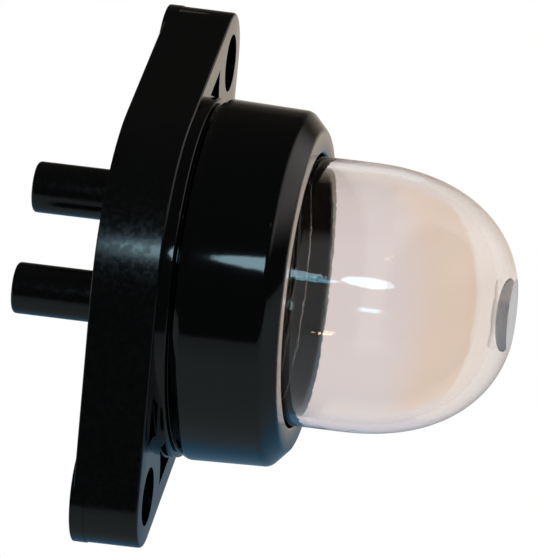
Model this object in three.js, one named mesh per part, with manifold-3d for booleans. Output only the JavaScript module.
// Remote primer bulb of a small petrol engine: a moulded body with two screw ears
// and two hose nipples, a clear squeeze bulb, the cap that clamps the bulb's rim,
// and the rubber check valve under the bulb.
//
// Frame, in millimetres: X = 0 is the seat, the plane of the raised pads behind the
// ears. +X is the bulb's axis and points out of the dome. +Z runs along the line
// through the screw holes, and the nipples leave the seat towards -X.

import * as THREE from "three";
import { ConvexGeometry } from "three/addons/geometries/ConvexGeometry.js";
import { mergeVertices } from "three/addons/utils/BufferGeometryUtils.js";
import Module from "manifold-3d";

// Clearances
const RIM_GAP = 0.2; // round the bulb where it passes the cap
const RIM_PLAY = 0.4; // round the bulb's rim, inside the cap
const CLAMP_GAP = 0.1; // on either face of the bulb's rim
const CAP_GAP = 0.25; // between the cap and the body, all the way along
const VALVE_GAP = 0.1; // between the rubber valve and the body

// Flange with its two ears
const HOLE_SPACING = 35; // between the screw holes
const HOLE_R = 2.15; // clears a 4 mm screw
const EAR_R = 3.8; // rounded end of an ear, about its screw hole
const PAD_MARGIN = 0.05; // how much wider than its ear a pad is
const PAD_R = EAR_R + PAD_MARGIN; // raised pad behind each ear
const PAD_STEP = 0.2; // how far a pad stands proud of the flange
const FLANGE_FRONT = 5; // X of the ears' front faces
const DISC_BACK_R = 13.6; // the round middle of the flange at its back
const DRAFT = 0.2; // how much smaller the round middle is at its front
const EAR_DRAFT = 0.05; // and each ear
const DISC_FRONT_R = DISC_BACK_R - DRAFT;
const EDGE = 0.2; // softened front edge of the flange

// Triangular core-outs beside each screw boss
const BOSS_WALL = 2.25; // wall left round a screw hole
const BOSS_R = HOLE_R + BOSS_WALL;
const RIM_WALL = 2; // wall left along the outline of an ear
const POCKET_FLOOR = 1.5; // X of the floor of a core-out

// Neck, groove and the spigot inside the cap
const NECK_STEP = 0.15; // from the flange's front edge down to the neck
const NECK_R = DISC_FRONT_R - NECK_STEP;
const NECK_LEDGE = 0.1; // left beside the neck by the ears' core-outs
const POCKET_INNER_R = NECK_R + NECK_LEDGE;
const NECK_TOP = 5.85; // X where the groove behind the cap begins
const GROOVE_DEPTH = 0.45;
const GROOVE_R = NECK_R - GROOVE_DEPTH;
const GROOVE_LEAN = 0.1; // how far the groove's back wall leans
const CAP_BACK = 6.25; // X of the cap's back face
const SPIGOT_DEPTH = 2; // from the neck down to the spigot
const SPIGOT_R = NECK_R - SPIGOT_DEPTH;
const SPIGOT_TOP = 10.35; // X of the face that carries the bulb's rim
const SPIGOT_EDGE = 0.3; // lead-in chamfer for the cap
const BEAD_HEIGHT = 0.3; // snap bead that holds the cap
const BEAD_X = 8.3; // X of the middle of the bead
const BEAD_HALF = 0.45;

// Cap
const CAP_PROUD = 0.05; // how far the cap stands out past the neck
const CAP_BACK_R = NECK_R + CAP_PROUD;
const CAP_DRAFT = 0.2;
const CAP_FRONT_R = CAP_BACK_R - CAP_DRAFT; // at the start of the chamfer
const CAP_EDGE = 0.25; // depth of the chamfer round the back
const CAP_EDGE_LENGTH = 0.5; // and its length along the side
const CHAMFER_X = 12.56; // X where the front chamfer starts
const CAP_FRONT = 13.75; // X of the front face
const CHAMFER_DEPTH = 1.3;
const FACE_R = CAP_FRONT_R - CHAMFER_DEPTH; // outer radius of the front face

// Bulb
const BULB_R = 9.9;
const BULB_WALL = 0.7;
const BULB_BORE_R = BULB_R - BULB_WALL;
const BULB_RIM_R = SPIGOT_R + CAP_GAP - RIM_PLAY; // clamped rim
const BULB_RIM = 1.5; // thickness of the rim
const DOME_X = 17.12; // X where the straight wall ends
const DOME_OUT = 12.07; // length of the dome outside
const CROWN_WALL = 1.15; // the dome is thicker at its crown
const DOME_IN = DOME_OUT - CROWN_WALL; // length of the dome inside
const DOME_POWER = 2.3; // 2 would be an ellipse, more is squarer
const DIMPLE_R = 2.7; // flat recess in the crown
const DIMPLE_DEPTH = 0.15;
const DIMPLE_DRAFT = 0.1; // its floor is smaller than its edge by this

// Chamber floor, ports and nipples
const FLOOR_X = 8.8;
const FLOOR_LEDGE = 0.6; // how far the bulb's seat reaches in past its bore
const FLOOR_R = BULB_BORE_R - FLOOR_LEDGE;
const RING_IN = 4.9; // inlet groove in the floor, under the valve's skirt
const RING_OUT = 6.6;
const RING_DEPTH = 0.8;
const WELL_R = 3.4; // well that holds the duckbill
const WELL_X = 2;
const NIPPLE_R = 1.9;
const NIPPLE_BORE_R = 0.8;
const NIPPLE_TIP = -7.6; // X of the nipples' ends
const NIPPLE_EDGE = 0.3;
const INLET_Z = 5.7;
const OUTLET_Z = -2.5;

// Ring-shaped core-out in the hidden back of the body, with ribs across it
const CORE_IN = 8.6;
const CORE_WALL = 2.1; // wall left outside it, at the back
const CORE_OUT = DISC_BACK_R - CORE_WALL;
const CORE_FLOOR = 5;
const RIB = 1.6;
const RIBS = 6;
const CORE_DRAFT = 0.1;
const PAST = 1; // how far a cutter runs past the face that it opens
const CUT_OVERLAP = 0.05; // how far two cuts that meet run into each other

// Check valve
const SKIRT_MARGIN = 0.9; // from the skirt's edge to the chamber's wall
const SKIRT_R = FLOOR_R - SKIRT_MARGIN;
const SKIRT_RIM = 0.25; // thickness of the skirt at its edge
const SKIRT = 0.55; // and over the inlet groove
const SKIRT_LIFT = 0.1; // hollow under the skirt, over the groove
const SKIRT_LAND = 0.2; // width of its sealing edge
const CROWN_RISE = 0.3; // the top's highest ring above the skirt
const HUB_PASSAGE_R = 1;
const HUB_BOTTOM = 6.3;
const BILL_ROOT = 0.5; // how far the bill reaches into the hub
const BILL_ROOT_R = 2.5;
const BILL_TIP = 3.2;
const BILL_WIDTH = 4.2;
const BILL_THICKNESS = 1;
const SLIT = 0.16;
const SLIT_WIDTH = 3;

const wasm = await Module();
wasm.setup();

// A closed three.js geometry as a solid that can be cut and joined.
function solid(geometry) {
  const bare = geometry.clone();
  bare.deleteAttribute("normal");
  bare.deleteAttribute("uv");
  const merged = mergeVertices(bare, 1e-4);
  return new wasm.Manifold(
    new wasm.Mesh({
      numProp: 3,
      vertProperties: new Float32Array(merged.attributes.position.array),
      triVerts: new Uint32Array(merged.index.array),
    }),
  );
}

// A cut or joined solid as a three.js geometry.
function geometryOf(made) {
  const mesh = made.getMesh();
  const geometry = new THREE.BufferGeometry();
  geometry.setAttribute("position", new THREE.BufferAttribute(mesh.vertProperties, 3));
  geometry.setIndex(new THREE.BufferAttribute(mesh.triVerts, 1));
  geometry.computeVertexNormals();
  return geometry;
}

// A turned shape about X, from a profile of [x, radius] points.
function turned(profile, segments) {
  const points = profile.map(([x, r]) => new THREE.Vector2(r, x));
  return new THREE.LatheGeometry(points, segments).rotateZ(-Math.PI / 2);
}

// A plain round bar along X from x0 to x1, at height z.
function bar(x0, x1, radius, z, segments) {
  const profile = [
    [x0, 0],
    [x0, radius],
    [x1, radius],
    [x1, 0],
  ];
  return turned(profile, segments).translate(0, 0, z);
}

// Points round one layer of the flange: the round middle and the two ear ends.
function layer(x, discR, earR) {
  const points = [];
  for (let i = 0; i < 72; i += 1) {
    const a = (i * Math.PI) / 36;
    points.push(new THREE.Vector3(x, discR * Math.sin(a), discR * Math.cos(a)));
  }
  for (const side of [1, -1]) {
    for (let i = 0; i < 32; i += 1) {
      const a = (i * Math.PI) / 16;
      const z = side * (HOLE_SPACING / 2 + earR * Math.cos(a));
      points.push(new THREE.Vector3(x, earR * Math.sin(a), z));
    }
  }
  return points;
}

// The drafted flange plate. Its outline bulges everywhere, so the hull is exact.
function flange() {
  return new ConvexGeometry([
    ...layer(PAD_STEP, DISC_BACK_R, EAR_R),
    ...layer(FLANGE_FRONT - EDGE, DISC_FRONT_R, EAR_R - EAR_DRAFT),
    ...layer(FLANGE_FRONT, DISC_FRONT_R - EDGE, EAR_R - EAR_DRAFT - EDGE),
  ]);
}

// A core-out beside a screw boss: inside the ear's wall, outside boss and neck.
function earPocket(side) {
  const hole = HOLE_SPACING / 2;
  const slope = Math.asin((DISC_FRONT_R - EAR_R) / hole);
  const wall = DISC_FRONT_R - RIM_WALL; // distance of the inner wall from the axis
  const normal = [Math.cos(slope), Math.sin(slope)];
  const along = [-Math.sin(slope), Math.cos(slope)];
  const corner = (t) => [wall * normal[0] + t * along[0], wall * normal[1] + t * along[1]];
  const shape = new THREE.Shape();
  shape.moveTo(0, POCKET_INNER_R / 2);
  shape.lineTo(...corner(0));
  shape.lineTo(...corner(hole - EAR_R));
  shape.lineTo(0, hole);
  shape.closePath();
  const depth = FLANGE_FRONT - POCKET_FLOOR + PAST;
  const wedge = new THREE.ExtrudeGeometry(shape, { depth, bevelEnabled: false });
  // The drawing's x and y become the part's Y and Z, and its depth becomes X.
  const turn = new THREE.Matrix4().makeBasis(
    new THREE.Vector3(0, 1, 0),
    new THREE.Vector3(0, 0, 1),
    new THREE.Vector3(1, 0, 0),
  );
  wedge.applyMatrix4(turn).translate(POCKET_FLOOR, 0, 0);
  const top = FLANGE_FRONT + 2 * PAST;
  const boss = bar(0, top, BOSS_R, hole, 48);
  const neck = bar(0, top, POCKET_INNER_R, 0, 72);
  const cut = solid(wedge).subtract(solid(boss)).subtract(solid(neck));
  return side > 0 ? cut : cut.rotate([180, 0, 0]);
}

// The ring-shaped core-out behind the body, less its ribs.
function backCore() {
  const profile = [
    [-PAST, CORE_IN],
    [-PAST, CORE_OUT + CORE_DRAFT],
    [CORE_FLOOR, CORE_OUT - CORE_DRAFT],
    [CORE_FLOOR, CORE_IN + CORE_DRAFT],
    [-PAST, CORE_IN],
  ];
  let core = solid(turned(profile, 72));
  for (let i = 0; i < RIBS / 2; i += 1) {
    const rib = new THREE.BoxGeometry(2 * CORE_FLOOR + 2 * PAST, RIB, 2 * CORE_OUT + 2 * PAST);
    rib.rotateX(((i + 0.5) * 2 * Math.PI) / RIBS);
    core = core.subtract(solid(rib));
  }
  return core;
}

// The turned middle of the body, from inside the flange to the bulb's seat.
function tower() {
  return turned(
    [
      [FLANGE_FRONT / 2, 0],
      [FLANGE_FRONT / 2, NECK_R - EDGE],
      [FLANGE_FRONT - EDGE, NECK_R],
      [NECK_TOP, NECK_R],
      [NECK_TOP + GROOVE_LEAN, GROOVE_R],
      [CAP_BACK - CAP_GAP, GROOVE_R],
      [CAP_BACK - CAP_GAP, SPIGOT_R],
      [BEAD_X - BEAD_HALF, SPIGOT_R],
      [BEAD_X, SPIGOT_R + BEAD_HEIGHT],
      [BEAD_X + BEAD_HALF, SPIGOT_R],
      [SPIGOT_TOP - SPIGOT_EDGE, SPIGOT_R],
      [SPIGOT_TOP, SPIGOT_R - SPIGOT_EDGE],
      [SPIGOT_TOP, FLOOR_R],
      [FLOOR_X, FLOOR_R],
      [FLOOR_X, RING_OUT],
      [FLOOR_X - RING_DEPTH, RING_OUT],
      [FLOOR_X - RING_DEPTH, RING_IN],
      [FLOOR_X, RING_IN],
      [FLOOR_X, 0],
    ],
    72,
  );
}

function nipple(z) {
  const profile = [
    [2, 0],
    [2, NIPPLE_R],
    [NIPPLE_TIP + NIPPLE_EDGE, NIPPLE_R],
    [NIPPLE_TIP, NIPPLE_R - NIPPLE_EDGE],
    [NIPPLE_TIP, 0],
  ];
  return turned(profile.reverse(), 32).translate(0, 0, z);
}

function body() {
  let made = solid(flange()).add(solid(tower()));
  for (const z of [HOLE_SPACING / 2, -HOLE_SPACING / 2]) {
    made = made.add(solid(bar(0, 2 * PAD_STEP, PAD_R, z, 48)));
  }
  made = made.subtract(backCore());
  for (const z of [INLET_Z, OUTLET_Z]) made = made.add(solid(nipple(z)));
  for (const side of [1, -1]) {
    const pocket = earPocket(side);
    made = made.subtract(pocket).subtract(pocket.mirror([0, 1, 0]));
    const hole = bar(-PAST, FLANGE_FRONT + PAST, HOLE_R, (side * HOLE_SPACING) / 2, 40);
    made = made.subtract(solid(hole));
  }
  const end = NIPPLE_TIP - PAST;
  made = made.subtract(solid(bar(WELL_X, FLOOR_X + PAST, WELL_R, 0, 40)));
  made = made.subtract(solid(bar(end, FLOOR_X, NIPPLE_BORE_R, INLET_Z, 20)));
  made = made.subtract(solid(bar(end, WELL_X + PAST, NIPPLE_BORE_R, OUTLET_Z, 20)));
  return geometryOf(made);
}

// The cap: a sleeve over the spigot whose lip clamps the bulb's rim.
function cap() {
  const bore = SPIGOT_R + CAP_GAP;
  const lip = SPIGOT_TOP + 2 * CLAMP_GAP + BULB_RIM; // X of the lip's underside
  const groove = bore + BEAD_HEIGHT;
  return turned(
    [
      [CAP_BACK, bore],
      [CAP_BACK, CAP_BACK_R - CAP_EDGE],
      [CAP_BACK + CAP_EDGE_LENGTH, CAP_BACK_R],
      [CHAMFER_X, CAP_FRONT_R],
      [CAP_FRONT, FACE_R],
      [CAP_FRONT, BULB_R + RIM_GAP],
      [lip, BULB_R + RIM_GAP],
      [lip, bore],
      [BEAD_X + BEAD_HALF, bore],
      [BEAD_X, groove],
      [BEAD_X - BEAD_HALF, bore],
      [CAP_BACK, bore],
    ],
    72,
  );
}

// One side of the dome, from its edge to the axis.
function dome(radius, length, steps) {
  const points = [];
  for (let i = 0; i <= steps; i += 1) {
    const a = (i * Math.PI) / 2 / steps;
    const x = DOME_X + length * Math.sin(a) ** (2 / DOME_POWER);
    points.push([x, i < steps ? radius * Math.cos(a) ** (2 / DOME_POWER) : 0]);
  }
  return points;
}

// The clear bulb: rim, straight wall, squarish dome and the flat dimple in its crown.
function bulb() {
  const back = SPIGOT_TOP + CLAMP_GAP;
  const outside = dome(BULB_R, DOME_OUT, 13).filter(([, r]) => r > 1.1 * DIMPLE_R);
  const inside = dome(BULB_BORE_R, DOME_IN, 11).reverse();
  const rimX = DOME_X + DOME_OUT * (1 - (DIMPLE_R / BULB_R) ** DOME_POWER) ** (1 / DOME_POWER);
  return turned(
    [
      [back, BULB_BORE_R],
      [back, BULB_RIM_R],
      [back + BULB_RIM, BULB_RIM_R],
      [back + BULB_RIM, BULB_R],
      ...outside,
      [rimX, DIMPLE_R],
      [rimX - DIMPLE_DEPTH, DIMPLE_R - DIMPLE_DRAFT],
      [rimX - DIMPLE_DEPTH, 0],
      ...inside,
      [back, BULB_BORE_R],
    ],
    64,
  );
}

// A flat-ended wedge from a circle at x0 down to a narrow slot at x1.
function wedge(x0, radius, x1, width, thickness) {
  const points = [];
  for (let i = 0; i < 32; i += 1) {
    const a = (i * Math.PI) / 16;
    points.push(new THREE.Vector3(x0, radius * Math.cos(a), radius * Math.sin(a)));
  }
  for (const y of [-width / 2, width / 2]) {
    for (const z of [-thickness / 2, thickness / 2]) points.push(new THREE.Vector3(x1, y, z));
  }
  return new ConvexGeometry(points);
}

// The check valve: a skirt over the inlet groove, a hub in the well, and a duckbill.
function valve() {
  const hub = WELL_R - VALVE_GAP;
  const seat = FLOOR_X + VALVE_GAP;
  const top = turned(
    [
      [HUB_BOTTOM, 0],
      [HUB_BOTTOM, hub],
      [seat, hub],
      [seat + SKIRT_LIFT, RING_IN],
      [seat + SKIRT_LIFT, RING_OUT],
      [seat, SKIRT_R - SKIRT_LAND],
      [seat, SKIRT_R],
      [seat + SKIRT_RIM, SKIRT_R],
      [seat + SKIRT, RING_OUT],
      [seat + SKIRT + 0.7 * CROWN_RISE, RING_IN],
      [seat + SKIRT + CROWN_RISE, 2 * HUB_PASSAGE_R],
      [seat + SKIRT + 0.3 * CROWN_RISE, HUB_PASSAGE_R],
      [seat + SKIRT + 0.3 * CROWN_RISE, 0],
    ],
    48,
  );
  const root = HUB_BOTTOM + BILL_ROOT;
  const bill = wedge(root, BILL_ROOT_R, BILL_TIP, BILL_WIDTH, BILL_THICKNESS);
  const passage = bar(root - CUT_OVERLAP, seat + SKIRT + PAST, HUB_PASSAGE_R, 0, 32);
  const slit = wedge(root, HUB_PASSAGE_R, BILL_TIP - CUT_OVERLAP, SLIT_WIDTH, SLIT);
  return geometryOf(
    solid(top).add(solid(bill)).subtract(solid(passage)).subtract(solid(slit)),
  );
}

const blackPlastic = { color: 0x0d1012, roughness: 0.25, metalness: 0 };
const clearBulb = { color: 0xe9ddd2, roughness: 0.1, metalness: 0 };
const blackRubber = { color: 0x151516, roughness: 0.6, metalness: 0 };

function piece(name, geometry, look, extra = {}) {
  const mesh = new THREE.Mesh(geometry, new THREE.MeshStandardMaterial({ ...look, ...extra }));
  mesh.name = name;
  return mesh;
}

const primer = new THREE.Group();
primer.name = "primer_bulb";
primer.add(piece("body", body(), blackPlastic));
primer.add(piece("retaining_cap", cap(), blackPlastic));
primer.add(piece("bulb", bulb(), clearBulb, { transparent: true, opacity: 0.35 }));
primer.add(piece("check_valve", valve(), blackRubber));

export default primer;
